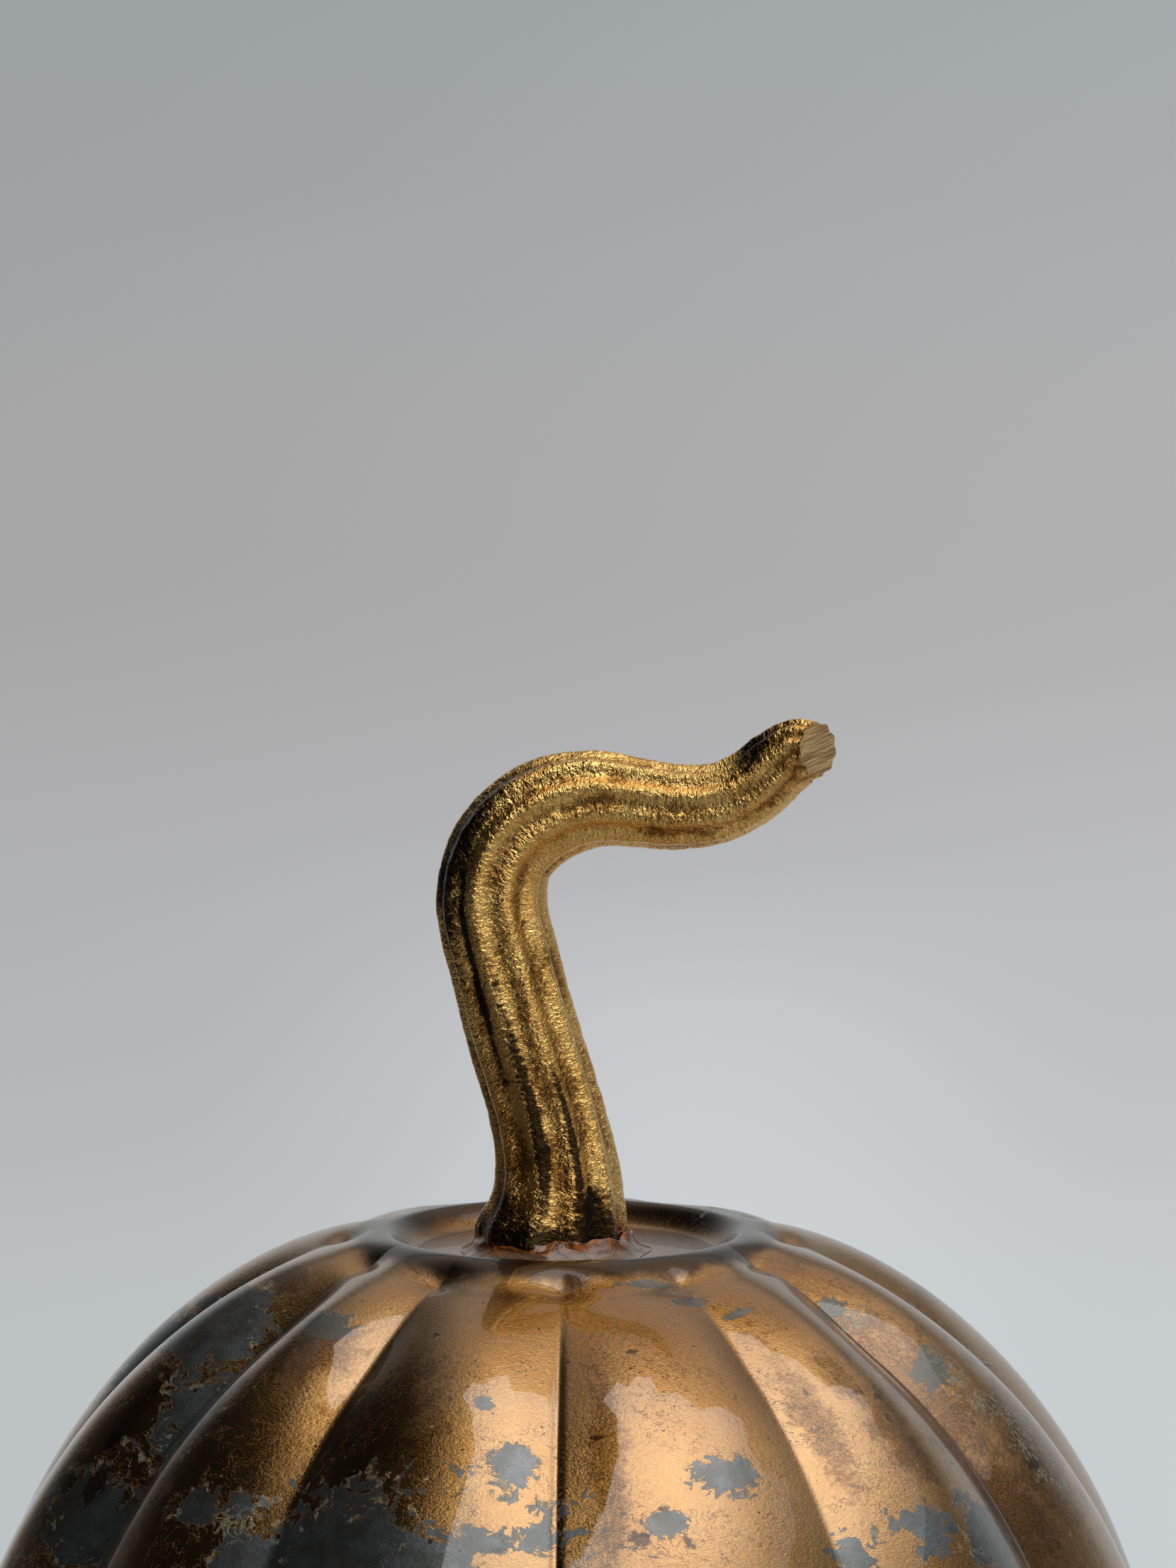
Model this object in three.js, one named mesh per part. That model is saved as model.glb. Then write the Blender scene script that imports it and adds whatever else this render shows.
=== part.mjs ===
// Mirrored blown-glass pumpkin with a gold stem, in millimetres, +Z up.
// The origin is on the tabletop, under the centre of the object's box.
import * as THREE from 'three';

// ---- Driving dimensions ----

// Glass body
const lobeCount = 12;
const bodyRadius = 105.8; // axis to lobe crest at the equator
const equatorHeight = 62; // above the table
const crownHeight = 86.4; // equator to rim crest
const rimRadius = 31; // crest of the ring round the crown well
const wellDepth = 3.6; // rim crest to well floor
const wellFloorRadius = 25;
const shoulderFullness = [1.14, 1.18]; // exponents of the upper outline, across and up
const bellyFullness = [1.0, 1.1]; // the same for the lower outline
const glassWall = 3;
const grooveDepth = 5.6; // between lobes, on the body
const grooveFade = 20; // radial length over which a groove runs out
const standRadii = [36, 47]; // flat ring that the feet stick to
const kickUp = 7; // rise of the underside inside that ring
const fillHoleRadius = 11;

// Clearance between neighbouring pieces
const gap = 0.3;

// Feet
const footCount = 4;
const footRadius = 5;
const footHeight = 3;
const footFaceRadius = 3;
const footDome = 2; // height of the rounded edge

// Stopper in the fill hole
const stopperHeadRadius = 15;
const stopperHead = 3;
const stopperPlugLength = 13;
const stopperTipRadius = 9.6;
const stopperBevel = 1;
const recessRadius = 7; // finger recess underneath
const recessDepth = 9;
const recessDraft = 0.6; // how much wider the recess is at its mouth

// Stem: centre-line points and the radius there
const stemRoute = [
  { at: [-1.7, 0, 146.5], radius: 12.9 },
  { at: [-1.2, 0, 152.5], radius: 11.9 },
  { at: [-1.4, 0, 160.0], radius: 10.6 },
  { at: [-3.4, 0, 169.7], radius: 9.9 },
  { at: [-7.0, 0, 181.8], radius: 9.8 },
  { at: [-10.2, 0, 194.0], radius: 9.6 },
  { at: [-12.4, 0, 205.0], radius: 9.6 },
  { at: [-11.0, 0, 212.2], radius: 9.3 },
  { at: [-7.0, 0, 217.5], radius: 9.3 },
  { at: [-1.0, 0, 221.0], radius: 9.0 },
  { at: [5.4, -0.5, 222.3], radius: 8.4 },
  { at: [12.5, -1.0, 221.7], radius: 7.7 },
  { at: [19.3, -2.0, 221.1], radius: 7.4 },
  { at: [26.5, -3.0, 222.0], radius: 6.9 },
  { at: [32.2, -4.5, 225.1], radius: 6.6 },
  { at: [36.2, -6.2, 228.8], radius: 6.2 },
  { at: [39.7, -8.0, 231.1], radius: 5.4 },
  { at: [42.7, -10.0, 231.6], radius: 4.1 },
];
const stemCutNormal = [0.73, -0.68, 0.05]; // the sawn end faces right and forwards
const stemCutBlend = 0.06; // share of the stem over which its rings lean into the cut
const ribCount = 10;
const ribDepth = 0.08; // crest to valley, as a share of the stem's radius

// Glue bead between stem and well
const glueBed = 1;
const glueWidth = 2.6; // beyond the stem's foot
const glueClimb = 3.4; // up the stem's side

// ---- Worked-out values ----
const rimHeight = equatorHeight + crownHeight;
const wellFloor = rimHeight - wellDepth;
const standHeight = footHeight + gap;
const lobeAngle = (2 * Math.PI) / lobeCount;

const materials = {
  glass: new THREE.MeshStandardMaterial({ color: 0xb07a45, roughness: 0.15, metalness: 1 }),
  gold: new THREE.MeshStandardMaterial({ color: 0xc79a4a, roughness: 0.3, metalness: 1 }),
  glue: new THREE.MeshStandardMaterial({ color: 0x9a5a1e, roughness: 0.12, metalness: 0 }),
  rubber: new THREE.MeshStandardMaterial({ color: 0xb9b4aa, roughness: 0.6, metalness: 0 }),
  bumper: new THREE.MeshStandardMaterial({ color: 0xdfe3e2, roughness: 0.15, metalness: 0 }),
};

// ---- Helpers ----
const steps = (count) => Array.from({ length: count + 1 }, (_, i) => i / count);
const ease = (t) => (1 - Math.cos(Math.PI * t)) / 2;
const fade = (value, from, to) => THREE.MathUtils.smoothstep(value, from, to);

/** Turns an outline of [radius, height] pairs about the vertical axis. */
function turned(outline, segments) {
  const points = outline.map(([radius, height]) => new THREE.Vector2(radius, height));
  return new THREE.LatheGeometry(points, segments).rotateX(Math.PI / 2);
}

/** Moves every vertex of a geometry by a function of its position. */
function reshape(geometry, move) {
  const position = geometry.attributes.position;
  const point = new THREE.Vector3();
  for (let i = 0; i < position.count; i += 1) {
    point.fromBufferAttribute(position, i);
    move(point);
    position.setXYZ(i, point.x, point.y, point.z);
  }
  geometry.computeVertexNormals();
  return geometry;
}

function piece(name, geometry, material) {
  const mesh = new THREE.Mesh(geometry, material);
  mesh.name = name;
  return mesh;
}

// ---- Glass shell ----

/** Half outline of the body, from the middle of the well to the fill hole, set in by inset. */
function bodyOutline(inset, [wellSteps, crownSteps, bellySteps, baseSteps]) {
  const floor = wellFloor - inset;
  const stand = standHeight + inset;
  const [standInner, standOuter] = standRadii;
  const well = steps(wellSteps).map((t) => [
    THREE.MathUtils.lerp(wellFloorRadius, rimRadius, t),
    floor + wellDepth * ease(t),
  ]);
  const crown = steps(crownSteps).map((t) => [
    rimRadius + (bodyRadius - inset - rimRadius) * Math.sin((t * Math.PI) / 2) ** shoulderFullness[0],
    equatorHeight + (crownHeight - inset) * Math.cos((t * Math.PI) / 2) ** shoulderFullness[1],
  ]);
  const belly = steps(bellySteps).map((t) => [
    standOuter + (bodyRadius - inset - standOuter) * Math.cos((t * Math.PI) / 2) ** bellyFullness[0],
    equatorHeight - (equatorHeight - stand) * Math.sin((t * Math.PI) / 2) ** bellyFullness[1],
  ]);
  const base = steps(baseSteps).map((t) => [
    THREE.MathUtils.lerp(standInner, fillHoleRadius, t),
    stand + kickUp * ease(t),
  ]);
  return [[0, floor], ...well, ...crown.slice(1), ...belly.slice(1), ...base];
}

/** Sinks the grooves between lobes: each leans towards the ring at the middle of the lobes. */
function sinkGrooves(point) {
  const radius = Math.hypot(point.x, point.y);
  const inner = point.z > equatorHeight ? rimRadius : standRadii[1];
  const depth = grooveDepth * fade(radius, inner, inner + grooveFade);
  if (depth === 0) return;
  const angle = Math.atan2(point.x, -point.y);
  const sink = depth * (1 - Math.abs(Math.sin((lobeCount * angle) / 2)));
  const core = new THREE.Vector2(rimRadius - radius, equatorHeight - point.z).normalize();
  const scale = (radius + core.x * sink) / radius;
  point.set(point.x * scale, point.y * scale, point.z + core.y * sink);
}

function glassShell() {
  const outside = bodyOutline(0, [3, 12, 8, 3]);
  const inside = bodyOutline(glassWall, [2, 7, 5, 2]);
  const outline = [...outside, ...inside.reverse()].reverse();
  const geometry = reshape(turned(outline, lobeCount * 6), sinkGrooves);
  return piece('glass_shell', geometry, materials.glass);
}

// ---- Stem ----
function stem() {
  const route = new THREE.CatmullRomCurve3(stemRoute.map(({ at }) => new THREE.Vector3(...at)));
  const radii = new THREE.CatmullRomCurve3(
    stemRoute.map(({ at, radius }) => new THREE.Vector3(at[0], at[1], radius)),
    false,
    'catmullrom',
    0.5,
  );
  const depthAxis = new THREE.Vector3(0, 1, 0);
  const tip = route.getPoint(1);
  const cut = new THREE.Vector3(...stemCutNormal).normalize();
  const bar = new THREE.CylinderGeometry(1, 1, 1, ribCount * 4, 30).rotateX(Math.PI / 2);
  const geometry = reshape(bar, (point) => {
    const t = point.z + 0.5;
    const along = route.getTangent(t);
    const across = depthAxis.clone().cross(along).normalize();
    const outward = along.clone().cross(across);
    const angle = Math.atan2(point.y, point.x);
    const rib = 1 - (ribDepth * (1 - Math.cos(ribCount * angle))) / 2;
    const radius = radii.getPoint(t).z * rib * Math.hypot(point.x, point.y);
    const centre = route.getPoint(t);
    point.copy(centre);
    point.addScaledVector(across, radius * Math.cos(angle));
    point.addScaledVector(outward, radius * Math.sin(angle));
    if (t === 0) point.z = stemRoute[0].at[2];
    // Rings near the tip lean over until the last one lies in the plane of the cut.
    const lean = fade(t, 1 - stemCutBlend, 1);
    const toPlane = cut.dot(point.clone().sub(centre)) / cut.dot(along);
    point.addScaledVector(along, -lean * toPlane);
  });
  return piece('stem', geometry, materials.gold);
}

// ---- Glue bead: a shallow cup that holds the stem's foot in the well ----
function glueBead() {
  const [{ radius: footR }] = stemRoute;
  const bottom = wellFloor + gap;
  const bed = bottom + glueBed;
  const inner = footR + gap;
  const outer = inner + glueWidth;
  const fillet = steps(6).map((t) => {
    const angle = (t * Math.PI) / 2;
    return [
      outer - (glueWidth - gap) * Math.sin(angle),
      bottom + glueBed / 2 + (glueClimb - glueBed / 2) * (1 - Math.cos(angle)),
    ];
  });
  const cup = [[inner, bed + glueBed], [inner, bed], [0, bed]];
  const outline = [[0, bottom], [outer - gap, bottom], ...fillet, ...cup];
  const bead = piece('stem_glue_bead', turned(outline, 28), materials.glue);
  bead.position.x = stemRoute[0].at[0];
  return bead;
}

// ---- Stopper: a soft bung with a head, pushed up into the fill hole ----
function baseStopper() {
  const seat = standHeight + kickUp - gap;
  const bottom = seat - stopperHead;
  const shank = fillHoleRadius - gap;
  const shoulder = seat - stopperBevel;
  const tip = seat + stopperPlugLength;
  const outline = [
    [0, bottom + recessDepth],
    [recessRadius - stopperBevel, bottom + recessDepth],
    [recessRadius, bottom + recessDepth - stopperBevel],
    [recessRadius + recessDraft, bottom],
    [stopperHeadRadius - stopperBevel, bottom],
    [stopperHeadRadius, bottom + stopperBevel],
    [stopperHeadRadius, shoulder],
    [shank, shoulder],
    [shank, seat + glassWall + gap],
    [stopperTipRadius, tip - stopperBevel],
    [stopperTipRadius - stopperBevel, tip],
    [0, tip],
  ];
  return piece('base_stopper', turned(outline, 24), materials.rubber);
}

// ---- Feet: clear domed bumpers under the stand ring, each under a lobe ----
function bumperFoot(index) {
  const dome = steps(3).map((t) => [
    footFaceRadius + (footRadius - footFaceRadius) * Math.sin((t * Math.PI) / 2),
    footDome * (1 - Math.cos((t * Math.PI) / 2)),
  ]);
  const outline = [[0, 0], ...dome, [footRadius, footHeight], [0, footHeight]];
  const foot = piece(`bumper_foot_${index + 1}`, turned(outline, 12), materials.bumper);
  const lobe = Math.round(((index + 0.5) * lobeCount) / footCount - 0.5) + 0.5;
  const radius = (standRadii[0] + standRadii[1]) / 2;
  foot.position.x = radius * Math.sin(lobe * lobeAngle);
  foot.position.y = -radius * Math.cos(lobe * lobeAngle);
  return foot;
}

const group = new THREE.Group();
group.add(glassShell(), stem(), glueBead(), baseStopper());
for (let index = 0; index < footCount; index += 1) group.add(bumperFoot(index));

export default group;
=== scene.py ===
"""Mirrored glass pumpkin with a gold stem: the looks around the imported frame, in Blender 4.5."""

import math

import bpy
import numpy as np
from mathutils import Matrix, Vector, noise


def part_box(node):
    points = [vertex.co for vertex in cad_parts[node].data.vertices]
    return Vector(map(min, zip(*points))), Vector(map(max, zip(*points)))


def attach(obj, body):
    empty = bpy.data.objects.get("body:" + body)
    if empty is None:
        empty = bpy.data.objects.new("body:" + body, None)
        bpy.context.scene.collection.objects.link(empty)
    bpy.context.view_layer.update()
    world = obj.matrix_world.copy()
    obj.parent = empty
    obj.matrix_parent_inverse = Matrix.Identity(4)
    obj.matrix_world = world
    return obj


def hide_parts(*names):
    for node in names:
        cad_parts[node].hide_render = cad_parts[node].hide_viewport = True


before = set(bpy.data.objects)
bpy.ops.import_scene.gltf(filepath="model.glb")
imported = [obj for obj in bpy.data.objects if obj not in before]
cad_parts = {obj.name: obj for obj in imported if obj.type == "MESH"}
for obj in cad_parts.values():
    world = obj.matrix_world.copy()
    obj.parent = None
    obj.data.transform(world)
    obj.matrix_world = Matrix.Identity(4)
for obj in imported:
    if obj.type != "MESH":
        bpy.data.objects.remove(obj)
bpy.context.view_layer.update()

# ---- Places taken from the frame, in millimetres ----
MM = 0.001
shell_low, shell_high = (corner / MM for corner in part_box("glass_shell"))
stopper_low, stopper_high = (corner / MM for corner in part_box("base_stopper"))
bead_low, bead_high = (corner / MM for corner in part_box("stem_glue_bead"))
axis_x, axis_y = ((stopper_low + stopper_high) / 2).xy
body_radius = max(
    math.hypot(corner.co.x / MM - axis_x, corner.co.y / MM - axis_y)
    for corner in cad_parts["glass_shell"].data.vertices
)
rim_height = shell_high.z
stand_height = shell_low.z

# ---- Shape of the glass body, in millimetres and degrees ----
LOBES = 12
EQUATOR = 62  # height of the widest place
RIM_RADIUS = 31  # crest of the ring round the crown well
WELL_DEPTH = 3.6
WELL_FLOOR_RADIUS = 25
SHOULDER_FULLNESS = (1.14, 1.18)  # exponents of the upper outline, across and up
BELLY_FULLNESS = (1.0, 1.1)  # the same for the lower outline
WALL = 3
STAND_INNER = 36  # flat ring that the feet stick to
STAND_OUTER = 47
KICK_UP = 7  # rise of the underside inside that ring
FILL_HOLE_RADIUS = 11
GROOVE_DEPTH = 5.8
GROOVE_FADE = 32  # radial length over which a groove runs out at the ring
GROOVE_VARIETY = (0.25, 2.3)  # uneven depth from groove to groove: amount, and step of its wave
GROOVE_ROUNDING = 0.03  # how round a groove's bottom is, as a share of the lobe's wave
FRONT_ROUNDING = 0.15
FRONT_SHALLOWER = 3.8  # how much less deep the grooves are near the front
FRONT_GROOVES = (0.35, 1.3)  # where that is most, counted in grooves from the front, and how far it reaches
# Grooves out of their even places: angle from the front, how far it strays, over what angle.
STRAY_GROOVES = [(31, 1.3, 16), (-32, -2.2, 13)]
# The front falls away outside the ring: radius where it is full, radius where it has faded, how much.
FRONT_LOWER = (41, 95, 2.6)
POCKET = (37.5, 3.0, 1.3)  # dimple where a groove meets the ring: radius, width, depth
FRONT_CREASE = (0.9, 0.4)  # narrow crease along the bottom of the front groove: half width, depth
CREASE_START = 8  # how far outside the ring the crease begins
SWELLS = [(0.30, 55), (0.10, 17)]  # unevenness of hand-blown glass: height and breadth
SWELL_CENTRE = EQUATOR + 8  # height that the swells point away from

# Rings of the outline: flat floor of the well, then well, crown, belly and base.
FLOOR_RINGS = 4
OUTSIDE_RINGS = (22, 120, 96, 26)
INSIDE_RINGS = (8, 24, 18, 8)
COLUMNS_PER_LOBE = 52
COLUMN_CROWDING = 0.68  # share by which the columns' spacing shrinks at the grooves

# ---- Stem: centre-line points and radii, with a wider foot and tip than the design ----
STEM_ROUTE = [
    (-2.2, 0, 146.5, 13.6), (-1.2, 0, 152.5, 11.9), (-1.4, 0, 160, 10.6),
    (-3.4, 0, 169.7, 9.9), (-7, 0, 181.8, 9.8), (-10.2, 0, 194, 9.6),
    (-12.4, 0, 205, 9.6), (-11, 0, 212.2, 9.3), (-7, 0, 217.5, 9.3),
    (-1, 0, 221, 9.0), (5.4, -0.5, 222.3, 8.4), (12.5, -1, 221.7, 7.7),
    (19.3, -2, 221.1, 7.4), (26.5, -3, 222, 6.9), (32.2, -4.5, 225.1, 6.6),
    (36.2, -6.2, 228.8, 6.2), (39.7, -8, 231.1, 5.7), (42.7, -10, 231.6, 4.8),
]
# Painted shade on the stem, black where it reflects the dark room: share of the way along it, angle round
# it, half share, half angle.
PAINTED_SHADE_PATCHES = [
    (0.40, 210, 0.14, 34), (0.87, 208, 0.07, 42), (0.0, 270, 0.07, 170), (0.03, 212, 0.12, 30),
    (0.16, 258, 0.2, 9), (0.13, 290, 0.12, 7), (0.3, 236, 0.14, 8), (0.03, 306, 0.10, 34),
]
STEM_CUT_NORMAL = (0.73, -0.68, 0.05)  # the sawn end faces right and forwards
STEM_CUT_BLEND = 0.06  # share of the stem over which its rings lean into the cut
RIBS = 10
RIB_DEPTH = 0.105  # crest to valley, as a share of the stem's radius
RIB_VARIETY = 0.6  # how unevenly deep the ribs are, as a share of their depth
RIB_WANDER = 0.10  # how far they wander round the stem, in radians
CRINKLES = (0.08, 1.9)  # fine relief of the leaf: height and breadth
LUMPS = (0.14, 5.5)  # coarser relief of the casting: height and breadth
LEAF_INSET = 0.1  # the skin is set in by this much, which makes room for the relief
SAW_MARKS = (0.06, 1.0)  # relief of the sawn end: height and breadth
STEM_RINGS = 460
STEM_SIDES = 260
CAP_RINGS = 12

# ---- Glue, stopper and feet, in millimetres ----
GLUE_WIDTH = 2.9  # skirt beyond the stem's foot
GLUE_BED = 0.9  # thickness under the foot
STOPPER_HEAD = 2
STOPPER_CLEARANCE = 0.3  # between shank and fill hole
STOPPER_TIP_RADIUS = 9.6
RECESS_RADIUS = 7  # finger recess in the stopper's head
RECESS_DEPTH = 9
SEALING_RIBS = 3
SEALING_RIB_PITCH = 2.4
FOOT_FACE_RADIUS = 3  # flat under each foot
FOOT_DOME = 2  # height of its rounded edge

# ---- Where the antiqued film is worn, in degrees and millimetres ----
# Each patch: angle from the front, height, half width, half length along the outline.
BARE_PATCHES = [
    (-5, 125, 4.5, 5), (-10, 133, 2, 2), (-24, 108, 18, 19), (-10, 99, 27, 27),
    (-43, 114, 5, 4), (-35, 109, 7, 6), (-38, 116, 3, 3), (-57, 128, 12, 14),
    (-64, 108, 13, 10), (-73, 137, 15, 12), (-92, 128, 16, 15), (20, 122, 6, 4),
    (21, 147.5, 5, 1.5), (30, 146, 4, 1.5), (36, 144, 4, 1), (12, 116, 4, 3),
    (33, 110, 5, 4), (42, 111, 8, 5), (52, 108, 9, 9), (66, 132, 5, 4),
    (62, 143, 3, 2.5), (88, 130, 9, 16), (50, 114, 2, 1.5), (-44, 141, 5, 4),
]
GOLD_ISLANDS = [(-13, 118, 4, 2.5), (-7, 118, 7, 2.5), (-3, 111, 8, 2), (39, 110, 3, 2)]
BROWN_PATCHES = [
    (-24, 130, 12, 18), (-41, 138, 9, 9), (-50, 122, 6, 18), (-68, 124, 4, 9), (-52, 140, 10, 5),
    (-72, 144, 12, 4), (-70, 109, 8, 12), (43, 134, 4, 8), (46, 124, 6, 13), (62, 112, 10, 16),
    (6, 124, 3.5, 26), (60, 132, 13, 30), (80, 122, 13, 30), (36, 129, 4, 22), (72, 116, 10, 18),
    (84, 140, 8, 7),
]
DARK_SPOTS = [
    (12, 140, 1.5, 1), (11, 138, 1.5, 0.7), (5, 129, 1.5, 0.8), (12, 118, 1.5, 1.2),
    (9, 114, 2.2, 2.2), (14, 113, 1.6, 1.6), (-66, 113, 3, 5), (69, 115, 2.6, 1.6),
    (-22, 142, 1, 1), (37, 133, 1, 1), (47, 130, 1.5, 1), (58, 106, 1.5, 1.5),
    (-68, 119, 2, 3), (44, 131, 1.5, 1), (46, 127, 1.2, 1.2),
]
CRUST_PATCHES = [(64, 141, 5, 3), (68, 128, 4, 9), (71, 117, 5, 12), (75, 103, 5, 8), (-38, 113, 4, 4)]
# Scattered patches on the sides and back: how many, and the least and most of each number of a patch.
# A height below the equator counts as the equator. They are bare and brown by turns.
SCATTERED = [
    (26, (100, 80, 4, 4), (260, 147, 15, 13)),
    (30, (-180, -60, 4, 4), (180, 96, 16, 14)),
]
SEED = 11

# ---- Colours: linear red, green and blue ----
GOLD_FILM = (0.43, 0.25, 0.092, 1)
GOLD_FILM_DEEP = (0.38, 0.195, 0.056, 1)
GOLD_FILM_GRAIN = (0.60, 0.38, 0.15, 1)
PATINA_DARK = (0.095, 0.040, 0.007, 1)
PATINA = (0.27, 0.125, 0.024, 1)
SMOKE = (0.04, 0.027, 0.020, 1)
WELL_DUST = (0.58, 0.45, 0.35, 1)
SILVERING_DARK = (0.097, 0.110, 0.100, 1)
SILVERING = (0.175, 0.200, 0.208, 1)
SILVERING_UNDER_PATINA = (0.10, 0.075, 0.04, 1)
SILVERING_GRAIN = (0.07, 0.072, 0.06, 1)
SILVERING_RUST = (0.16, 0.085, 0.03, 1)
LOOSE_FLECK = (0.10, 0.115, 0.12, 1)
CRUST = (0.36, 0.39, 0.29, 1)
FILM_MARK = (0.03, 0.012, 0.004, 1)
STEM_GOLD = (1.0, 0.665, 0.215, 1)
STEM_GOLD_DEEP = (0.88, 0.49, 0.13, 1)
STEM_WORN = (0.17, 0.068, 0.010, 1)
# Painted shade on the stem, where it reflects the dark room.
STEM_PAINTED_SHADE = (0.010, 0.006, 0.003, 1)
STEM_SHEEN = (0.62, 0.57, 0.52, 1)
SAWN_DARK = (0.34, 0.20, 0.07, 1)
SAWN_BRIGHT = (0.80, 0.55, 0.25, 1)
AMBER_DARK = (0.06, 0.020, 0.004, 1)
AMBER = (0.42, 0.13, 0.014, 1)
GLUE_SKIRT_DARK = (0.15, 0.085, 0.045, 1)
GLUE_SKIRT = (0.27, 0.175, 0.105, 1)
RUBBER_DARK = (0.30, 0.275, 0.235, 1)
RUBBER = (0.45, 0.42, 0.37, 1)
BUMPER_DARK = (0.86, 0.90, 0.89, 1)
BUMPER = (0.95, 0.97, 0.96, 1)
FLOOR_DARK = (0.80, 0.82, 0.83, 1)
FLOOR_PALE = (0.84, 0.86, 0.87, 1)
WALL_TOP = (0.345, 0.372, 0.385, 1)
WALL_MIDDLE = (0.405, 0.400, 0.402, 1)
WALL_FOOT = (0.475, 0.478, 0.495, 1)
TABLE_TONE = (0.535, 0.57, 0.58, 1)
ROOM_TINT = (0.97, 0.99, 1.0, 1)
CEILING_TINT = (1.0, 0.80, 0.62, 1)
PANEL_TINT = (1.0, 0.965, 0.975, 1)

# ---- Camera and stage, in metres and degrees ----
CAMERA_TARGET = Vector((0.004, axis_y * MM, 0.2248))
CAMERA_AZIMUTH = 0.8
CAMERA_ELEVATION = 5.37
CAMERA_DISTANCE = 1.0
CAMERA_LENS = 135.24  # focal length in millimetres
PANEL_RISE = 1.3
PANEL_FROM = 0.15  # height that the rise is counted from
PANEL_BRIGHTNESS = 2.35
PANEL_DIMMED = 0.35  # share of its brightness left at its far right
PANEL_DIMMING = (0.5, 1.0)  # shares of the rise to the right, between which it dims
# Outline of the overhead panel, as shares of its rise.
PANEL_OUTLINE = [
    (-0.17, 0.12), (-0.11, 0.19), (-0.04, 0.16), (0.02, 0.21), (0.12, 0.23), (0.17, 0.15),
    (0.30, 0.21), (0.45, 0.20), (0.66, 0.44), (0.79, 0.50), (0.82, 0.30), (0.95, 0.22),
    (1.12, 0.36), (1.26, 0.10), (1.34, -0.5), (1.25, -1.1), (0.30, -1.25), (-0.34, -0.85),
    (-0.16, -0.45), (-0.07, -0.20), (-0.09, 0.0),
]
FLOOR_HALF_SIZE = 3
FLOOR_CLEARING = (0.17, 0.37)  # radii between which the floor thins out into the backdrop
# Brightness of each part of the studio that the object reflects.
ROOM_LEVEL = 0.012
RIGHT_LEVEL = 0.11
LOW_LEVEL = 0.04
CEILING_LEVEL = 0.58
WINDOW_LEVEL = 0.24
BACKDROP_LEVEL = 0.48
GLOW_LEVEL = 0.18  # extra brightness of the backdrop behind the object, seen by the camera only
SIDE_LEVELS = (0.94, 1.10)  # the backdrop's brightness on the left and right, seen by the camera only


# ---- Number helpers ----
def smoothstep(value, start, end):
    share = np.clip((value - start) / (end - start), 0, 1)
    return share * share * (3 - 2 * share)


def ease(share):
    return (1 - np.cos(np.pi * share)) / 2


def wobble(points, size, octaves=1):
    """Smooth noise at each point, from about -1 to 1, with features of that size in millimetres."""
    scaled = np.asarray(points, float) / size
    if octaves == 1:
        return np.array([noise.noise(Vector(p)) for p in scaled])
    return np.array([noise.fractal(Vector(p), 0.8, 2.1, octaves) for p in scaled])


def catmull_rom(points, shares, centripetal=True):
    """Points on the smooth curve through the given ones, at shares from 0, the first, to 1, the last."""
    points = np.asarray(points, float)
    ends = [2 * points[0] - points[1]], points, [2 * points[-1] - points[-2]]
    padded = np.vstack(ends)
    place = np.asarray(shares) * (len(points) - 1)
    first = np.minimum(place.astype(int), len(points) - 2)
    t = (place - first)[:, None]
    p0, p1, p2, p3 = (padded[first + k] for k in range(4))
    if not centripetal:
        start, end = (p2 - p0) / 2, (p3 - p1) / 2
    else:
        d0, d1, d2 = (
            np.sqrt(np.linalg.norm(b - a, axis=1))[:, None] for a, b in ((p0, p1), (p1, p2), (p2, p3))
        )
        start = d1 * ((p1 - p0) / d0 - (p2 - p0) / (d0 + d1) + (p2 - p1) / d1)
        end = d1 * ((p2 - p1) / d1 - (p3 - p1) / (d1 + d2) + (p3 - p2) / d2)
    turn = 2 * p1 - 2 * p2 + start + end
    bend = -3 * p1 + 3 * p2 - 2 * start - end
    return ((turn * t + bend) * t + start) * t + p1


def unit(vectors):
    return vectors / np.linalg.norm(vectors, axis=-1, keepdims=True)


# ---- Mesh helpers ----
def grid_faces(rows, columns):
    """Quads of a sheet that closes on itself along its columns."""
    row = np.arange(rows - 1)[:, None]
    column = np.arange(columns)[None, :]
    below, beside = row + 1, (column + 1) % columns
    corners = [(row, column), (below, column), (below, beside), (row, beside)]
    return np.stack([(r * columns + c).ravel() for r, c in corners], 1).tolist()


def fan_faces(centre, ring, forward):
    """Triangles from one vertex to a closed ring of them."""
    pairs = zip(ring, ring[1:] + ring[:1])
    return [(centre, a, b) if forward else (centre, b, a) for a, b in pairs]


def new_piece(name, points, faces, material, sharp_angle=60):
    """A smooth-shaded mesh object from points in millimetres."""
    mesh = bpy.data.meshes.new(name)
    mesh.from_pydata((np.asarray(points, float) * MM).tolist(), [], faces)
    mesh.shade_smooth()
    mesh.set_sharp_from_angle(angle=math.radians(sharp_angle))
    mesh.materials.append(material)
    piece = bpy.data.objects.new(name, mesh)
    bpy.context.scene.collection.objects.link(piece)
    return piece


def paint(piece, name, values):
    """Stores one number, or one vector, at each vertex, for the material to read."""
    values = np.asarray(values, np.float32)
    kind, field = ("FLOAT", "value") if values.ndim == 1 else ("FLOAT_VECTOR", "vector")
    attribute = piece.data.attributes.new(name, kind, "POINT")
    attribute.data.foreach_set(field, values.ravel())


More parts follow.
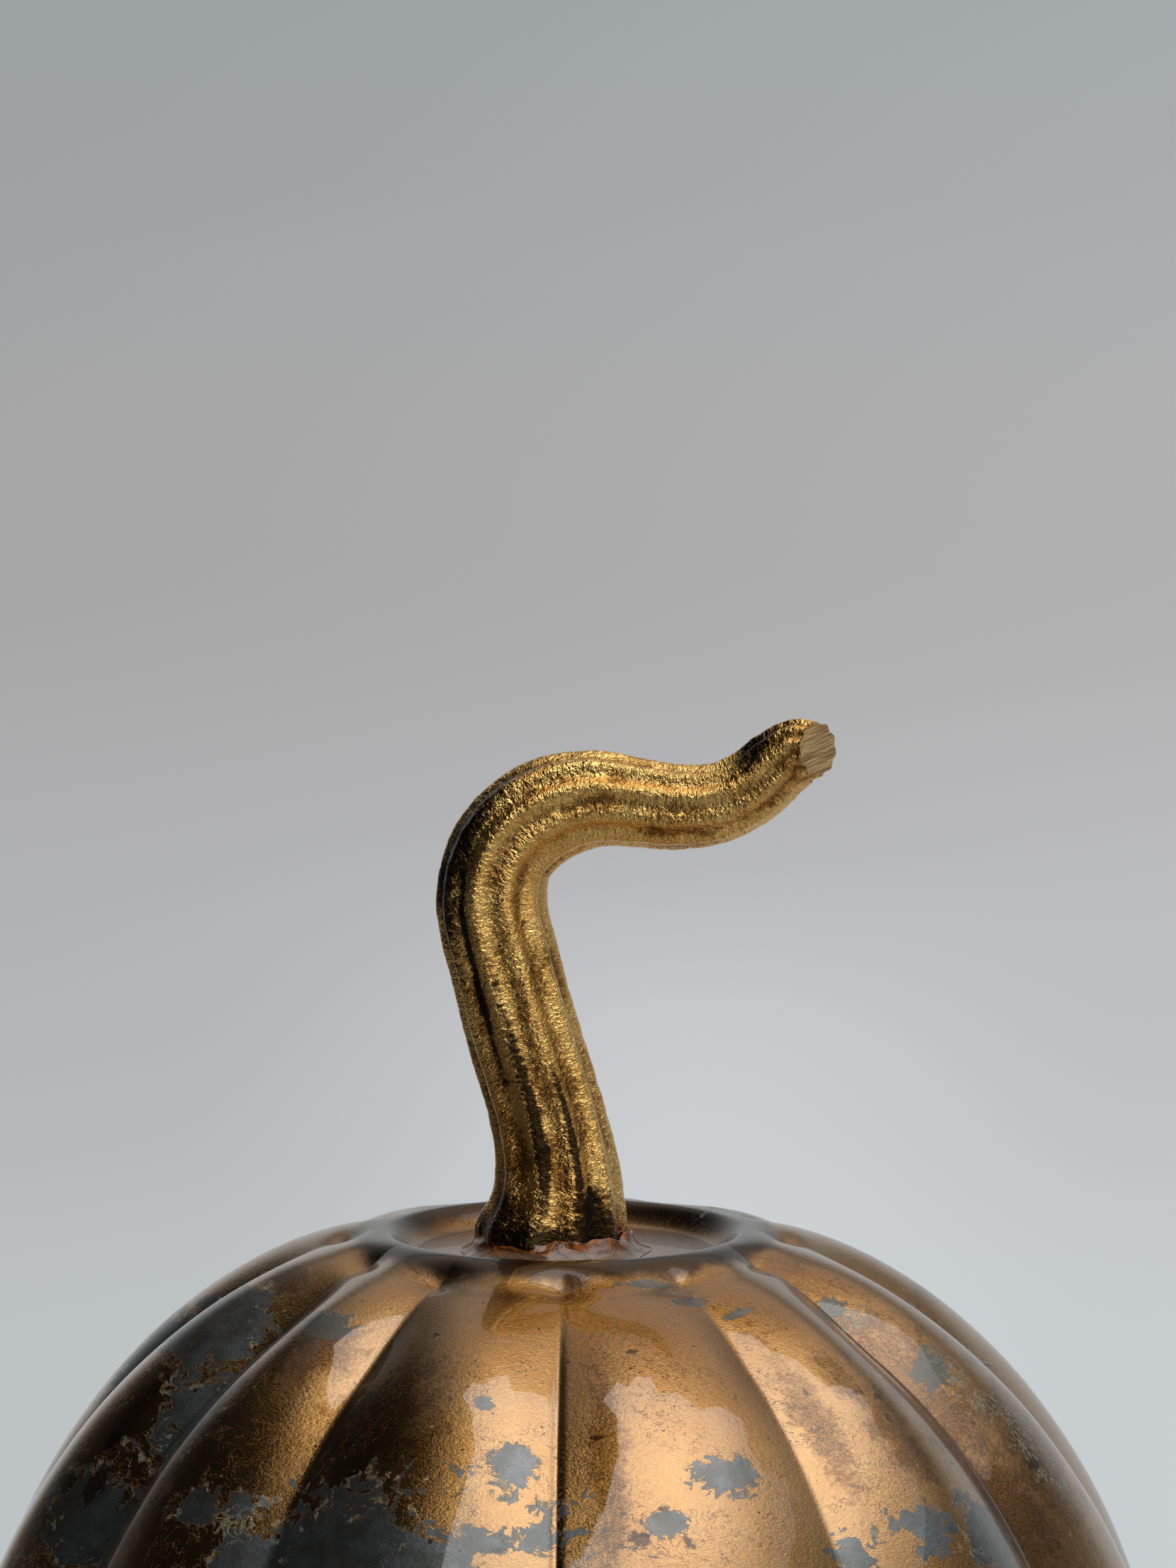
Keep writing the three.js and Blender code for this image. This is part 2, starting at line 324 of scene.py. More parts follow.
def turned(name, outline, columns, centre, material, shape=None, sharp_angle=60):
    """Turns an outline of (radius, height), which starts and ends on the axis, about the vertical."""
    outline = np.asarray(outline, float)
    ring = outline[1:-1]
    angle = np.arange(columns) * 2 * np.pi / columns
    radius = np.repeat(ring[:, :1], columns, 1)
    height = np.repeat(ring[:, 1:], columns, 1)
    if shape:
        radius, height = shape(radius, height, angle[None, :])
    x = centre[0] + radius * np.sin(angle)
    y = centre[1] - radius * np.cos(angle)
    points = np.stack([x, y, height], -1).reshape(-1, 3)
    poles = [[centre[0], centre[1], outline[0, 1]], [centre[0], centre[1], outline[-1, 1]]]
    count = len(points)
    last = list(range(count - columns, count))
    faces = grid_faces(len(ring), columns)
    faces += fan_faces(count, list(range(columns)), True)
    faces += fan_faces(count + 1, last, False)
    return new_piece(name, np.vstack([points, poles]), faces, material, sharp_angle)


def arc(centre, radius, start, end, count):
    """Points on a circular arc in the outline's plane, angles in degrees from outwards to upwards."""
    angle = np.radians(np.linspace(start, end, count))
    return np.stack([centre[0] + radius * np.cos(angle), centre[1] + radius * np.sin(angle)], 1)


# ---- Shader helpers ----
class Graph:
    """Short calls that add nodes to a material or world and wire them."""

    def __init__(self, owner):
        owner.use_nodes = True
        self.nodes = owner.node_tree.nodes
        self.links = owner.node_tree.links
        self.nodes.clear()

    def add(self, kind, inputs, **settings):
        node = self.nodes.new("ShaderNode" + kind)
        for name, value in settings.items():
            setattr(node, name, value)
        for name, value in inputs.items():
            if isinstance(value, bpy.types.NodeSocket):
                self.links.new(value, node.inputs[name])
            else:
                node.inputs[name].default_value = value
        return node

    def math(self, operation, a, b=0.0):
        return self.add("Math", {0: a, 1: b}, operation=operation).outputs[0]

    def plus(self, *values):
        total = values[0]
        for value in values[1:]:
            total = self.math("ADD", total, value)
        return total

    def times(self, *values):
        total = values[0]
        for value in values[1:]:
            total = self.math("MULTIPLY", total, value)
        return total

    def most(self, a, b):
        return self.math("MAXIMUM", a, b)

    def centred(self, value, amount):
        """A texture value from 0 to 1, made to swing about zero."""
        return self.times(self.math("SUBTRACT", value, 0.5), amount)

    def fade(self, value, start, end, low=0.0, high=1.0):
        inputs = {"Value": value, "From Min": start, "From Max": end, "To Min": low, "To Max": high}
        return self.add("MapRange", inputs, interpolation_type="SMOOTHSTEP").outputs[0]

    def mix(self, share, a, b):
        node = self.add("Mix", {0: share, 6: a, 7: b}, data_type="RGBA")
        return node.outputs[2]

    def noise(self, place, scale, detail=2.0, roughness=0.5, distortion=0.0):
        inputs = {"Vector": place, "Scale": scale, "Detail": detail}
        inputs |= {"Roughness": roughness, "Distortion": distortion}
        return self.add("TexNoise", inputs).outputs[0]

    def cells(self, place, scale, output="Distance", **settings):
        return self.add("TexVoronoi", {"Vector": place, "Scale": scale}, **settings).outputs[output]

    def lines(self, texture, half_width):
        """Thin winding lines, where a texture crosses its middle value."""
        away = self.math("ABSOLUTE", self.math("SUBTRACT", texture, 0.5))
        return self.fade(away, half_width, half_width * 0.3)

    def stretch(self, place, factors):
        return self.add("VectorMath", {0: place, 1: factors}, operation="MULTIPLY").outputs[0]

    def millimetres(self):
        place = self.add("TexCoord", {}).outputs["Object"]
        return self.stretch(place, (1 / MM,) * 3)

    def painted(self, name, output="Fac"):
        return self.add("Attribute", {}, attribute_name=name).outputs[output]

    def bump(self, height, distance):
        return self.add("Bump", {"Height": height, "Distance": distance * MM}).outputs[0]

    def split(self, vector):
        return self.add("SeparateXYZ", {0: vector}).outputs


def surface(name, build):
    """A material whose build function returns the inputs of its Principled shader."""
    material = bpy.data.materials.new(name)
    graph = Graph(material)
    shader = graph.add("BsdfPrincipled", build(graph))
    graph.add("OutputMaterial", {"Surface": shader.outputs[0]})
    return material


# ---- Materials: a texture's scale is in features per millimetre, a bump's distance in millimetres ----
def antiqued_mirror(g):
    place = g.millimetres()
    from_axis = g.painted("reach")
    cloud = g.noise(place, 0.045, 5, 0.6, 0.4)
    mottle = g.noise(place, 0.22, 6, 0.62)
    crumb = g.noise(place, 1.1, 5, 0.6)
    grain = g.noise(g.stretch(place, (1, 1, 3)), 1.9, 3, 0.65)
    chip = g.cells(place, 0.6, "Color", distance="CHEBYCHEV")

    # Gold film, paler and deeper in clouds, with a fine brushed grain.
    gold = g.mix(g.fade(cloud, 0.34, 0.66), GOLD_FILM, GOLD_FILM_DEEP)
    gold = g.mix(g.fade(grain, 0.42, 0.72, 0, 0.35), gold, GOLD_FILM_GRAIN)

    # Brown patina: a broken cover with soft and speckled edges.
    reach = g.plus(from_axis, g.centred(mottle, 5))
    at_heads = g.times(g.fade(reach, 52, 38), 0.15)
    brown_field = g.plus(g.painted("brown"), at_heads, g.centred(mottle, 2.0), g.centred(crumb, 1.3))
    brown = g.fade(brown_field, -0.1, 0.7)
    stain = g.mix(g.fade(grain, 0.4, 0.66), PATINA_DARK, PATINA)
    colour = g.mix(g.times(brown, 0.85), gold, stain)

    # The ring round the well is smoked dark, and the well's floor is pale and dusty.
    smoke = g.times(g.fade(reach, 38, 35), g.fade(from_axis, 25.5, 29))
    colour = g.mix(g.times(smoke, 0.94), colour, SMOKE)
    colour = g.mix(g.fade(from_axis, 27, 24, 0, 0.85), colour, WELL_DUST)

    # Bare patches: the film has flaked off and dull blue-grey silvering shows.
    torn = g.noise(g.stretch(place, (1, 1, 1.5)), 0.16, 7, 0.68, 1.6)
    ragged = g.plus(g.painted("bare"), g.centred(torn, 2.4))
    bare_field = g.plus(ragged, g.centred(crumb, 0.3), g.centred(chip, 0.3))
    bare = g.fade(bare_field, 0.13, 0.17)
    silver = g.mix(g.fade(mottle, 0.35, 0.68), SILVERING_DARK, SILVERING)
    silver = g.mix(g.times(brown, 0.6), silver, SILVERING_UNDER_PATINA)
    silver = g.mix(g.fade(grain, 0.45, 0.72, 0, 0.6), silver, SILVERING_GRAIN)
    silver = g.mix(g.fade(cloud, 0.5, 0.75, 0, 0.55), silver, SILVERING_RUST)
    colour = g.mix(bare, colour, silver)

    # Loose flecks of bare metal sprinkled round the patches.
    near = g.fade(g.plus(g.painted("bare"), g.centred(cloud, 2.0)), -0.75, 0.2)
    fleck = g.times(g.fade(g.noise(place, 0.75, 4, 0.7), 0.64, 0.66), near)
    colour = g.mix(g.times(fleck, 0.8), colour, LOOSE_FLECK)

    # Pale greenish crust in threads, and along parts of the patches' edges.
    rim = g.times(g.fade(bare_field, 0.0, 0.12), g.fade(bare_field, 0.26, 0.16))
    threads = g.lines(g.noise(g.stretch(place, (1, 1, 0.45)), 0.42, 5, 0.65, 1.0), 0.035)
    crust = g.times(threads, g.fade(g.plus(g.painted("crust"), g.centred(mottle, 2.0)), 0.05, 0.3))
    edge_crust = g.times(rim, g.fade(g.noise(place, 0.3, 3), 0.54, 0.62), 0.7)
    crust = g.most(crust, edge_crust)
    colour = g.mix(g.times(crust, 0.85), colour, CRUST)

    # Dark spots, pin holes and hair-thin cracks in the film.
    spot = g.fade(g.plus(g.painted("spots"), g.centred(crumb, 1.6)), 0.1, 0.45)
    pin = g.times(g.fade(g.cells(place, 0.16), 0.10, 0.05), g.fade(mottle, 0.5, 0.56))
    speck = g.times(g.fade(g.cells(place, 0.5), 0.16, 0.10), g.fade(g.noise(place, 0.12, 4), 0.54, 0.62))
    thread = g.lines(g.noise(place, 0.42, 3, 0.5, 1.4), 0.011)
    crack = g.times(thread, g.fade(g.noise(place, 0.09, 2), 0.47, 0.57), g.fade(bare, 0.6, 0.2))
    marks = g.most(g.most(spot, pin), g.most(speck, g.times(crack, 0.6)))
    colour = g.mix(g.times(marks, 0.85), colour, FILM_MARK)

    # The film is finely crinkled behind the clear gloss.
    raised = g.plus(g.times(crumb, 0.7), g.times(grain, 0.8))
    relief = g.plus(raised, g.times(crack, -0.6), g.times(bare, -0.4), g.times(crust, 0.8))
    dull = g.most(g.most(bare, crust), fleck)
    roughness = g.plus(0.16, g.times(dull, 0.22), g.times(brown, 0.02), g.centred(crumb, 0.12))
    waves = g.plus(g.noise(place, 0.035, 2), g.times(g.noise(place, 0.15, 2), 0.12), g.times(mottle, 0.03))
    gloss = g.times(g.fade(from_axis, 27, 31, 0.3, 1.0), g.fade(smoke, 0, 1, 1.0, 0.5))
    return {
        "Base Color": colour,
        "Metallic": g.fade(dull, 0, 1, 1.0, 0.85),
        "Roughness": roughness,
        "Normal": g.bump(relief, 0.085),
        "Coat Weight": gloss,
        "Coat Roughness": 0.02,
        "Coat IOR": 1.6,
        "Coat Normal": g.bump(waves, 0.22),
    }


def crinkled_gold(g):
    straight = g.painted("straight", "Vector")
    across = g.stretch(straight, (1, 1, 1.7))
    crinkle = g.noise(across, 0.85, 3, 0.55, 0.7)
    crease = g.math("ABSOLUTE", g.math("SUBTRACT", g.noise(across, 0.7, 2, 0.5, 0.5), 0.5))
    fine = g.noise(across, 3.2, 2, 0.6)
    cloud = g.noise(straight, 0.12, 3, 0.6)
    gold = g.mix(g.fade(cloud, 0.35, 0.7), STEM_GOLD, STEM_GOLD_DEEP)
    worn = g.plus(g.times(g.painted("valley"), 0.55), g.centred(crinkle, 1.7), g.centred(cloud, 2.4))
    worn = g.fade(worn, 0.25, 0.85)
    colour = g.mix(g.times(worn, 0.8), gold, STEM_WORN)
    # Painted shade: black patches where the stem reflects the dark room, put into its colour.
    painted_shade = g.plus(g.painted("painted_shade"), g.centred(crinkle, 1.1), g.centred(cloud, 0.8))
    colour = g.mix(g.fade(painted_shade, 0.12, 0.55, 0, 0.95), colour, STEM_PAINTED_SHADE)
    relief = g.plus(crinkle, g.times(crease, 1.2), g.times(fine, 0.12))
    ripples = g.noise(g.stretch(straight, (1, 1, 3)), 0.5, 2)
    return {
        "Base Color": colour,
        "Metallic": 1.0,
        "Roughness": g.plus(0.09, g.times(worn, 0.15)),
        "Normal": g.bump(relief, 0.5),
        "Sheen Weight": 0.15,
        "Sheen Roughness": 0.3,
        "Sheen Tint": STEM_SHEEN,
        "Coat Weight": 0.1,
        "Coat Roughness": 0.15,
        "Coat IOR": 1.5,
        "Coat Normal": g.bump(ripples, 0.3),
    }


def sawn_gold(g):
    place = g.millimetres()
    tilt = {"Vector": place, "Angle": math.radians(20)}
    tilted = g.add("VectorRotate", tilt, rotation_type="Y_AXIS").outputs[0]
    strokes = g.stretch(tilted, (0.25, 0.25, 4.2))
    saw = g.noise(strokes, 0.8, 4, 0.6)
    colour = g.mix(g.fade(saw, 0.38, 0.62), SAWN_DARK, SAWN_BRIGHT)
    return {
        "Base Color": colour,
        "Metallic": 0.35,
        "Roughness": 0.34,
        "Normal": g.bump(saw, 0.25),
    }


def amber_glue(g):
    place = g.millimetres()
    flow = g.noise(place, 0.35, 3, 0.6, 0.8)
    climb = g.plus(g.painted("climb"), g.centred(flow, 0.5))
    amber = g.mix(g.fade(flow, 0.4, 0.65), AMBER_DARK, AMBER)
    skirt = g.mix(g.fade(flow, 0.35, 0.7), GLUE_SKIRT_DARK, GLUE_SKIRT)
    return {
        "Base Color": g.mix(g.fade(climb, 0.25, 0.45), skirt, amber),
        "Roughness": 0.12,
        "Normal": g.bump(flow, 0.5),
        "Subsurface Weight": 0.2,
        "Subsurface Scale": 0.002,
        "Coat Weight": 0.5,
        "Coat Roughness": 0.03,
        "Coat IOR": 1.55,
    }


def stopper_rubber(g):
    place = g.millimetres()
    dust = g.noise(place, 0.5, 5, 0.65)
    colour = g.mix(g.fade(dust, 0.35, 0.7), RUBBER_DARK, RUBBER)
    pore = g.noise(place, 3.0, 3, 0.6)
    return {
        "Base Color": colour,
        "Roughness": g.plus(0.55, g.centred(dust, 0.25)),
        "Normal": g.bump(g.plus(dust, g.times(pore, 0.4)), 0.12),
        "Subsurface Weight": 0.08,
        "Subsurface Scale": 0.001,
    }


def clear_bumper(g):
    place = g.millimetres()
    haze = g.noise(place, 0.8, 3, 0.5)
    colour = g.mix(g.fade(haze, 0.4, 0.7), BUMPER_DARK, BUMPER)
    return {
        "Base Color": colour,
        "Roughness": g.plus(0.06, g.times(haze, 0.12)),
        "IOR": 1.49,
        "Transmission Weight": 0.92,
        "Normal": g.bump(haze, 0.03),
    }


# ---- Glass body ----
def meridian(inset, rings):
    """Half outline from the middle of the well's floor to the fill hole, set in by inset."""
    floor = rim_height - WELL_DEPTH - inset
    stand = stand_height + inset
    reach = body_radius - inset
    well_t, crown_t, belly_t, base_t = (np.linspace(0, 1, count) for count in rings)
    well = np.stack([
        WELL_FLOOR_RADIUS + (RIM_RADIUS - WELL_FLOOR_RADIUS) * well_t,
        floor + WELL_DEPTH * ease(well_t),
    ], 1)
    turn = crown_t[1:] * np.pi / 2
    crown = np.stack([
        RIM_RADIUS + (reach - RIM_RADIUS) * np.sin(turn) ** SHOULDER_FULLNESS[0],
        EQUATOR + (rim_height - EQUATOR - inset) * np.maximum(np.cos(turn), 0) ** SHOULDER_FULLNESS[1],
    ], 1)
    turn = belly_t[1:] * np.pi / 2
    belly = np.stack([
        STAND_OUTER + (reach - STAND_OUTER) * np.maximum(np.cos(turn), 0) ** BELLY_FULLNESS[0],
        EQUATOR - (EQUATOR - stand) * np.sin(turn) ** BELLY_FULLNESS[1],
    ], 1)
    base = np.stack([
        STAND_INNER + (FILL_HOLE_RADIUS + WALL / 2 - STAND_INNER) * base_t,
        stand + KICK_UP * ease(base_t),
    ], 1)
    floor_radii = np.linspace(0, WELL_FLOOR_RADIUS, FLOOR_RINGS + 1)[:-1]
    floor_rings = [(radius, floor) for radius in floor_radii]
    return np.vstack([floor_rings, well, crown, belly, base])


def lobe_shape(radius, height, angle):
    """Sinks the grooves between the lobes, towards the ring at the middle of the lobes."""
    upper = height > EQUATOR
    inner = np.where(upper, RIM_RADIUS, STAND_OUTER)
    angle = (angle + np.pi) % (2 * np.pi) - np.pi
    for stray_at, stray_by, stray_over in np.radians(STRAY_GROOVES):
        angle = angle - stray_by * np.exp(-(((angle - stray_at) / stray_over) ** 2))
    groove = np.round(LOBES * angle / (2 * np.pi))
    shallow_at, shallow_over = FRONT_GROOVES
    variety, variety_step = GROOVE_VARIETY
    front = np.exp(-(((groove - shallow_at) / shallow_over) ** 2))
    depth = GROOVE_DEPTH - FRONT_SHALLOWER * front + variety * np.sin(variety_step * groove)
    depth = depth * smoothstep(radius, inner, inner + GROOVE_FADE)
    wave = np.sin(LOBES * angle / 2)
    soft = np.where(groove == 0, FRONT_ROUNDING, GROOVE_ROUNDING)
    rounded = np.sqrt(wave**2 + soft**2) - soft
    valley = 1 - rounded / (np.sqrt(1 + soft**2) - soft)
    crease_width, crease_depth = FRONT_CREASE
    crease = crease_depth * np.exp(-((angle * radius / crease_width) ** 2))
    sink = depth * valley + crease * smoothstep(radius, inner + CREASE_START, inner + GROOVE_FADE)
    inwards, upwards = RIM_RADIUS - radius, EQUATOR - height
    length = np.hypot(inwards, upwards) + 1e-9

    # The ring stands up above the lobes at the front, with a dimple at the head of each groove.
    lower_from, lower_to, lower_by = FRONT_LOWER
    lower = lower_by * np.maximum(np.cos(angle), 0) * smoothstep(radius, RIM_RADIUS, lower_from)
    drop = lower * (1 - smoothstep(radius, lower_from, lower_to))
    pocket_radius, pocket_width, pocket_depth = POCKET
    drop += pocket_depth * valley * np.exp(-(((radius - pocket_radius) / pocket_width) ** 2))
    sunk_height = height + upwards / length * sink - np.where(upper, drop, 0)
    return radius + inwards / length * sink, sunk_height


def hand_blown(points):
    """Pushes points in and out a little, because hand-blown glass is never quite regular."""
    swell = sum(height * wobble(points, breadth) for height, breadth in SWELLS)
    swell *= smoothstep(np.hypot(points[:, 0], points[:, 1]), 15, 45)
    swell *= smoothstep(points[:, 2], stand_height + 1, stand_height + 25)
    outward = unit(points - [0, 0, SWELL_CENTRE])
    return points + outward * swell[:, None]


def glass_body():
    """The whole shell as one closed skin: outside, the fill hole's lip, and inside."""
    outside = meridian(0, OUTSIDE_RINGS)
    inside = meridian(WALL, INSIDE_RINGS)
    half_wall = WALL / 2
    lip = arc((FILL_HOLE_RADIUS + half_wall, outside[-1, 1] + half_wall), half_wall, 270, 90, 9)[1:-1]
    outline = np.vstack([outside, lip, inside[::-1]])
    columns = LOBES * COLUMNS_PER_LOBE
    step = np.linspace(0, 1, COLUMNS_PER_LOBE, endpoint=False)
    crowded = step - COLUMN_CROWDING * np.sin(2 * np.pi * step) / (2 * np.pi)
    angle = (np.arange(LOBES)[:, None] + crowded[None, :]).ravel() * 2 * np.pi / LOBES
    ring = outline[1:-1]
    radius = np.repeat(ring[:, :1], columns, 1)
    height = np.repeat(ring[:, 1:], columns, 1)
    radius, height = lobe_shape(radius, height, angle[None, :])
    x, y = radius * np.sin(angle), -radius * np.cos(angle)
    grid = hand_blown(np.stack([x, y, height], -1).reshape(-1, 3))
    grid[:, 0] += axis_x
    grid[:, 1] += axis_y
    poles = [[axis_x, axis_y, outline[0, 1]], [axis_x, axis_y, outline[-1, 1]]]
    count = len(grid)
    faces = grid_faces(len(ring), columns)
    faces += fan_faces(count, list(range(columns)), True)
    faces += fan_faces(count + 1, list(range(count - columns, count)), False)
    points = np.vstack([grid, poles])
    material = surface("antiqued_mirror", antiqued_mirror)
    body = new_piece("glass_body", points, faces, material)
    paint_wear(body, ring, angle, radius)
    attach(body, "pumpkin")
    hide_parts("glass_shell")


def paint_wear(body, ring, angle, radius):
    """Paints where the film is worn, from the outline's rings, the columns' angles and the grid's radii."""
    ring_along = np.concatenate([[0], np.cumsum(np.linalg.norm(np.diff(ring, axis=0), axis=1))])
    along = np.append(np.repeat(ring_along, len(angle)), [0, ring_along[-1]])
    around = np.append(np.tile(angle, len(ring)), [0, 0])
    from_axis = np.append(radius.ravel(), [0, 0])
    well_rings, crown_rings = OUTSIDE_RINGS[:2]
    crown_start = FLOOR_RINGS + well_rings
    crown = slice(crown_start, crown_start + crown_rings - 1)  # from beside the rim's crest to the equator

    def worn(patches):
        """How far inside the nearest patch each vertex is: 1 in its middle, 0 at its edge."""
        field = np.full(len(along), -1.0)
        for turn, level, half_width, half_length in patches:
            place = np.interp(-level, -ring[crown, 1], ring_along[crown])
            aside = (around - math.radians(turn) + np.pi) % (2 * np.pi) - np.pi
            distance = np.hypot(aside * from_axis / half_width, (along - place) / half_length)
            field = np.maximum(field, 1 - distance)
        return field

    counts, least, most = zip(*SCATTERED)
    scatter = np.random.default_rng(SEED)
    scattered = scatter.uniform(np.repeat(least, counts, 0), np.repeat(most, counts, 0)).tolist()
    bare = worn(BARE_PATCHES + scattered[::2])
    paint(body, "bare", np.minimum(bare, -worn(GOLD_ISLANDS) * 1.5))
    paint(body, "reach", from_axis)
    paint(body, "brown", worn(BROWN_PATCHES + scattered[1::2]))
    paint(body, "spots", worn(DARK_SPOTS))
    paint(body, "crust", worn(CRUST_PATCHES))


# ---- Stem ----
def gold_stem():
    """The ribbed and crinkled casting, swept along its route to the sawn end."""
    share = np.linspace(0, 1, STEM_RINGS)
    route = np.array(STEM_ROUTE, float)
    centre = catmull_rom(route[:, :3], share)
    ahead = catmull_rom(route[:, :3], np.clip(share + 1e-4, 0, 1))
    behind = catmull_rom(route[:, :3], np.clip(share - 1e-4, 0, 1))
    along = unit(ahead - behind)
    radius = catmull_rom(route[:, [0, 1, 3]], share, centripetal=False)[:, 2]
    across = unit(np.cross([0, 1, 0], along))
    outward = np.cross(along, across)
    length = np.concatenate([[0], np.cumsum(np.linalg.norm(np.diff(centre, axis=0), axis=1))])

    angle = np.arange(STEM_SIDES) * 2 * np.pi / STEM_SIDES
    round_x, round_y = np.cos(angle)[None, :], np.sin(angle)[None, :]
    straight = np.stack([
        radius[:, None] * round_x, radius[:, None] * round_y, np.repeat(length[:, None], STEM_SIDES, 1)
    ], -1)
    flat = straight.reshape(-1, 3)
    wander = wobble(flat * [1, 1, 0.25], 14).reshape(STEM_RINGS, STEM_SIDES)
    strength = 1 + RIB_VARIETY * wobble(flat * [1, 1, 0.2] + 40, 9).reshape(STEM_RINGS, STEM_SIDES)
    valley = (1 - np.cos(RIBS * (angle[None, :] + RIB_WANDER * wander))) / 2
    crinkle = wobble(flat * [1, 1, 1.7], CRINKLES[1], 2).reshape(STEM_RINGS, STEM_SIDES)
    lump = wobble(flat, LUMPS[1], 2).reshape(STEM_RINGS, STEM_SIDES)
    ribbed = radius[:, None] * (1 - RIB_DEPTH * strength * valley)
    reach = ribbed + CRINKLES[0] * crinkle + LUMPS[0] * lump - LEAF_INSET

    points = (
        centre[:, None, :]
        + across[:, None, :] * (reach * round_x)[..., None]
        + outward[:, None, :] * (reach * round_y)[..., None]
    )
    cut = unit(np.array(STEM_CUT_NORMAL))
    lean = smoothstep(share, 1 - STEM_CUT_BLEND, 1)[:, None]
    to_plane = (points - centre[:, None, :]) @ cut / (along @ cut)[:, None]
    points = points - along[:, None, :] * (lean * to_plane)[..., None]
    points[0, :, 2] = route[0, 2]

    # The sawn end: rings that close in on its middle, lightly scored by the saw.
    shrink = np.linspace(1, 0, CAP_RINGS + 2)[1:-1]
    end_ring = points[-1]
    middle = end_ring.mean(0)
    cap = middle + (end_ring - middle)[None, :, :] * shrink[:, None, None]
    scored = wobble(cap.reshape(-1, 3) * [0.25, 0.25, 2.5], SAW_MARKS[1]).reshape(cap.shape[:2])
    cap = cap + cut * (SAW_MARKS[0] * scored)[..., None]
    grid = np.concatenate([points, cap]).reshape(-1, 3)
    rows = STEM_RINGS + len(cap)
    count = len(grid)
    faces = [face[::-1] for face in grid_faces(rows, STEM_SIDES)]
    faces += fan_faces(count, list(range(STEM_SIDES)), False)
    faces += fan_faces(count + 1, list(range(count - STEM_SIDES, count)), True)
    ends = [route[0, :3], middle]
    everything = np.vstack([grid, ends]) + [axis_x, axis_y, 0]
    gold = surface("crinkled_gold", crinkled_gold)
    stem = new_piece("gold_stem_casting", everything, faces, gold)
    stem.data.materials.append(surface("sawn_gold", sawn_gold))
    first_cap_face = (STEM_RINGS - 1) * STEM_SIDES
    for index, polygon in enumerate(stem.data.polygons):
        side = index < first_cap_face or len(faces) - 2 * STEM_SIDES <= index < len(faces) - STEM_SIDES
        polygon.material_index = 0 if side else 1

    def with_cap(values):
        """The side's values, then the last ring's all over the sawn end, and 0 at both middles."""
        width = values[0, 0].size
        rows_with_cap = np.concatenate([values, values[-1:].repeat(len(cap), 0)])
        return np.vstack([rows_with_cap.reshape(-1, width), np.zeros((2, width))])

    paint(stem, "straight", with_cap(straight))
    paint(stem, "valley", with_cap(valley).ravel())
    # Painted shade: where the stem reflects the dark room, for the material to paint black.
    painted_shade = np.full(straight.shape[:2], -1.0)
    turn = np.degrees(angle)[None, :] + 4 * wander
    for place, towards, half_share, half_angle in PAINTED_SHADE_PATCHES:
        aside = (turn - towards + 180) % 360 - 180
        painted_shade = np.maximum(painted_shade, 1 - np.hypot((share[:, None] - place) / half_share, aside / half_angle))
    paint(stem, "painted_shade", with_cap(painted_shade).ravel())
    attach(stem, "pumpkin")
    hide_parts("stem")


# ---- Glue round the stem's foot ----
def glue():
    """A thin amber fillet that hugs the foot, and a low skirt that spreads over the well's floor."""
    centre = ((bead_low + bead_high) / 2).xy
    bottom = bead_low.z
    climb = bead_high.z - bottom
    foot = STEM_ROUTE[0][3]
    skirt = foot + GLUE_WIDTH
    bed = bottom + GLUE_BED
    hidden = [(0, bed), (foot * 0.5, bed), (foot - 1.2, bed), (foot - 1.1, bottom + climb - 0.8)]
    lip = list(arc((foot - 0.45, bottom + climb - 0.3), 0.25, 150, 20, 8))
    inner = foot - 0.15
    fillet = [
        (inner + (skirt - foot + 0.15) * t**1.9, bottom - 0.2 + (climb - 0.38) * (1 - t) ** 1.5)
        for t in np.linspace(0.12, 1, 26)
    ]
    underside = [(skirt - 0.3, bottom - 0.25), (foot, bottom), (foot * 0.5, bottom), (0, bottom)]
    outline = hidden + lip + fillet + underside

    def uneven(radius, height, angle):
        ripple = 0.5 * np.sin(3 * angle + 0.6) + 0.35 * np.sin(7 * angle + 2) + 0.3 * np.sin(10 * angle)
        tongue = 0.8 * np.sin(10 * angle + 0.4) + 0.6 * np.sin(4 * angle) + 0.4 * np.sin(23 * angle + 1)
        up = smoothstep(height, bottom + 1.2, bottom + climb)
        out = smoothstep(radius, foot + 0.4, skirt)
        new_height = height + 0.3 * tongue * up - 0.35 * up + 0.12 * ripple * out * (height > bottom + 0.05)
        new_radius = radius + out * (0.6 * np.roll(ripple, 40, -1) - 0.3)
        new_radius -= up * 0.55 * (1 + np.cos(RIBS * angle))  # the top follows the stem's ribs
        return new_radius, new_height

    bead = turned(
        "glue_bead", outline, 300, centre, surface("amber_glue", amber_glue), uneven, 50
    )
    heights = np.array([vertex.co.z for vertex in bead.data.vertices]) / MM
    paint(bead, "climb", (heights - bottom) / climb)
    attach(bead, "pumpkin")
    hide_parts("stem_glue_bead")


